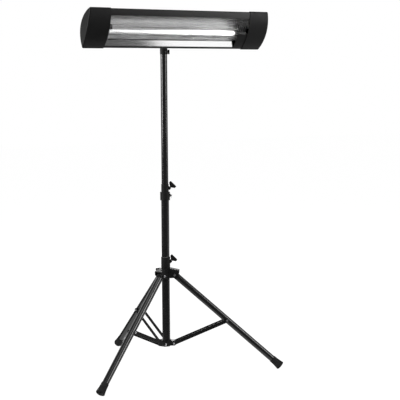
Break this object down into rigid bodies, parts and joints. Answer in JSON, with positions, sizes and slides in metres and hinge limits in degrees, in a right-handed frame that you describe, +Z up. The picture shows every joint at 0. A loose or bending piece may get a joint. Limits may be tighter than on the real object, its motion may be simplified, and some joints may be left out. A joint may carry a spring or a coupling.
{
  "type": "infrared patio heater tower",
  "caption": "Infrared lamp heater with a wire grille and end caps, tilting on a telescopic mast with a folding tripod stand, clamping screws and struts.",
  "frame": {"origin": "on the floor, on the axis of the column tube, in the middle of the three feet", "axes": "+Z up along the column and the mast; the heater head runs along X and faces -Y, tipped down"},
  "size_m": [0.9043, 0.8074, 1.5728],
  "materials": {
    "black_tube": "semi-gloss black powder coat",
    "moulding": "fine-textured black nylon",
    "handle_plastic": "black moulded handle",
    "nylon": "natural nylon",
    "foot_rubber": "matt black rubber",
    "zinc": "bright zinc plating",
    "housing_paint": "black coated extrusion",
    "cap_plastic": "satin black moulding",
    "black_screw": "blackened screw",
    "saddle_paint": "black powder coat",
    "reflector_sheet": "polished reflector sheet",
    "grille_wire": "bright wire",
    "quartz": "clear quartz",
    "filament": "dark heating coil",
    "holder_ceramic": "dark lamp end holder",
    "inner_plastic": "pale moulding",
    "gland_plastic": "black nylon gland"
  },
  "bodies": {
    "column": {"column_tube": "black_tube", "column_plug": "moulding", "base_collar": "moulding", "strut_pins": "zinc", "mast_clamp": "moulding", "clamp_bush": "nylon"},
    "hub": {"hub": "moulding", "hub_liner": "nylon", "leg_pins": "zinc"},
    "hub_screw": {"hub_screw": "zinc", "hub_screw_handle": "handle_plastic"},
    "mast": {"mast_tube": "black_tube", "mast_guide": "nylon"},
    "mast_screw": {"mast_screw": "zinc", "mast_screw_handle": "handle_plastic"},
    "lock_pin": {"lock_pin": "zinc", "lock_pin_ring": "zinc"},
    "adapter": {"adapter": "moulding", "adapter_screw": "zinc", "tilt_bolt": "zinc"},
    "adapter_knob": {"adapter_knob": "handle_plastic", "adapter_knob_stud": "zinc"},
    "tilt_knob": {"tilt_knob": "handle_plastic"},
    "head": {"housing": "housing_paint", "left_cap": "cap_plastic", "right_cap": "cap_plastic", "cap_screws": "black_screw", "saddle": "saddle_paint", "saddle_screws": "zinc", "reflector": "reflector_sheet", "reflector_end_left": "reflector_sheet", "reflector_end_right": "reflector_sheet", "lower_trim": "reflector_sheet", "terminal_cover": "cap_plastic", "quartz_tube": "quartz", "filament": "filament", "lamp_holder_left": "holder_ceramic", "lamp_holder_right": "holder_ceramic", "lamp_leads": "zinc", "grille": "grille_wire", "terminal_block": "inner_plastic", "tip_switch": "inner_plastic", "cable_gland": "gland_plastic"},
    "leg_rear": {"leg_tube_rear": "black_tube", "leg_eye_rear": "moulding", "foot_rear": "foot_rubber"},
    "strut_rear": {"strut_bars_rear": "black_tube", "strut_rivets_rear": "zinc"},
    "leg_left": {"leg_tube_left": "black_tube", "leg_eye_left": "moulding", "foot_left": "foot_rubber"},
    "strut_left": {"strut_bars_left": "black_tube", "strut_rivets_left": "zinc"},
    "leg_right": {"leg_tube_right": "black_tube", "leg_eye_right": "moulding", "foot_right": "foot_rubber"},
    "strut_right": {"strut_bars_right": "black_tube", "strut_rivets_right": "zinc"}
  },
  "joints": [
    {"name": "hub_slide", "type": "slide", "parent": "column", "child": "hub", "axis": [0, 0, 1], "range_m": [0, 0.24]},
    {"name": "hub_screw_turn", "type": "hinge", "parent": "hub", "child": "hub_screw", "pos_m": [0.01629, -0.00941, 0.4825], "axis": [0.6124, -0.3536, 0.7071], "range_deg": [0, 270]},
    {"name": "mast_slide", "type": "slide", "parent": "column", "child": "mast", "axis": [0, 0, 1], "range_m": [-0.54, 0.05]},
    {"name": "mast_screw_turn", "type": "hinge", "parent": "column", "child": "mast_screw", "pos_m": [0.01413, -0.00816, 0.807], "axis": [0.6124, -0.3536, 0.7071], "range_deg": [0, 270]},
    {"name": "lock_pin_pull", "type": "slide", "parent": "column", "child": "lock_pin", "axis": [0.866, -0.5, 0], "range_m": [0, 0.008], "stiffness_N_per_m": 500, "springref_m": -0.01},
    {"name": "head_pan", "type": "hinge", "parent": "mast", "child": "adapter", "pos_m": [0, 0, 1.42], "axis": [0, 0, 1], "continuous": true},
    {"name": "adapter_knob_turn", "type": "hinge", "parent": "adapter", "child": "adapter_knob", "pos_m": [0.01732, -0.01, 1.4], "axis": [0.866, -0.5, 0], "range_deg": [0, 270]},
    {"name": "tilt_knob_turn", "type": "hinge", "parent": "adapter", "child": "tilt_knob", "pos_m": [0.025, -0.05001, 1.50045], "axis": [1, 0, 0], "range_deg": [0, 270]},
    {"name": "head_tilt", "type": "hinge", "parent": "adapter", "child": "head", "pos_m": [0, -0.05001, 1.50045], "axis": [1, 0, 0], "range_deg": [-25, 20]},
    {"name": "leg_rear_fold", "type": "hinge", "parent": "hub", "child": "leg_rear", "pos_m": [0.00173, 0.03966, 0.4252], "axis": [-0.999, 0.0436, 0], "range_deg": [0, 35.28]},
    {"name": "strut_rear_fold", "type": "hinge", "parent": "column", "child": "strut_rear", "pos_m": [0.0015, 0.03427, 0.1188], "axis": [0.999, -0.0436, 0], "range_deg": [0, 49.51]},
    {"name": "leg_left_fold", "type": "hinge", "parent": "hub", "child": "leg_left", "pos_m": [-0.03521, -0.01833, 0.4252], "axis": [0.4617, -0.887, 0], "range_deg": [0, 35.28]},
    {"name": "strut_left_fold", "type": "hinge", "parent": "column", "child": "strut_left", "pos_m": [-0.03042, -0.01584, 0.1188], "axis": [-0.4617, 0.887, 0], "range_deg": [0, 49.51]},
    {"name": "leg_right_fold", "type": "hinge", "parent": "hub", "child": "leg_right", "pos_m": [0.03348, -0.02133, 0.4252], "axis": [0.5373, 0.8434, 0], "range_deg": [0, 35.28]},
    {"name": "strut_right_fold", "type": "hinge", "parent": "column", "child": "strut_right", "pos_m": [0.02893, -0.01843, 0.1188], "axis": [-0.5373, -0.8434, 0], "range_deg": [0, 49.51]}
  ],
  "couplings": [
    {"joint": "leg_rear_fold", "follows": "hub_slide", "rad_per_m": 2.5651},
    {"joint": "strut_rear_fold", "follows": "hub_slide", "rad_per_m": 3.6},
    {"joint": "leg_left_fold", "follows": "hub_slide", "rad_per_m": 2.5651},
    {"joint": "strut_left_fold", "follows": "hub_slide", "rad_per_m": 3.6},
    {"joint": "leg_right_fold", "follows": "hub_slide", "rad_per_m": 2.5651},
    {"joint": "strut_right_fold", "follows": "hub_slide", "rad_per_m": 3.6}
  ]
}
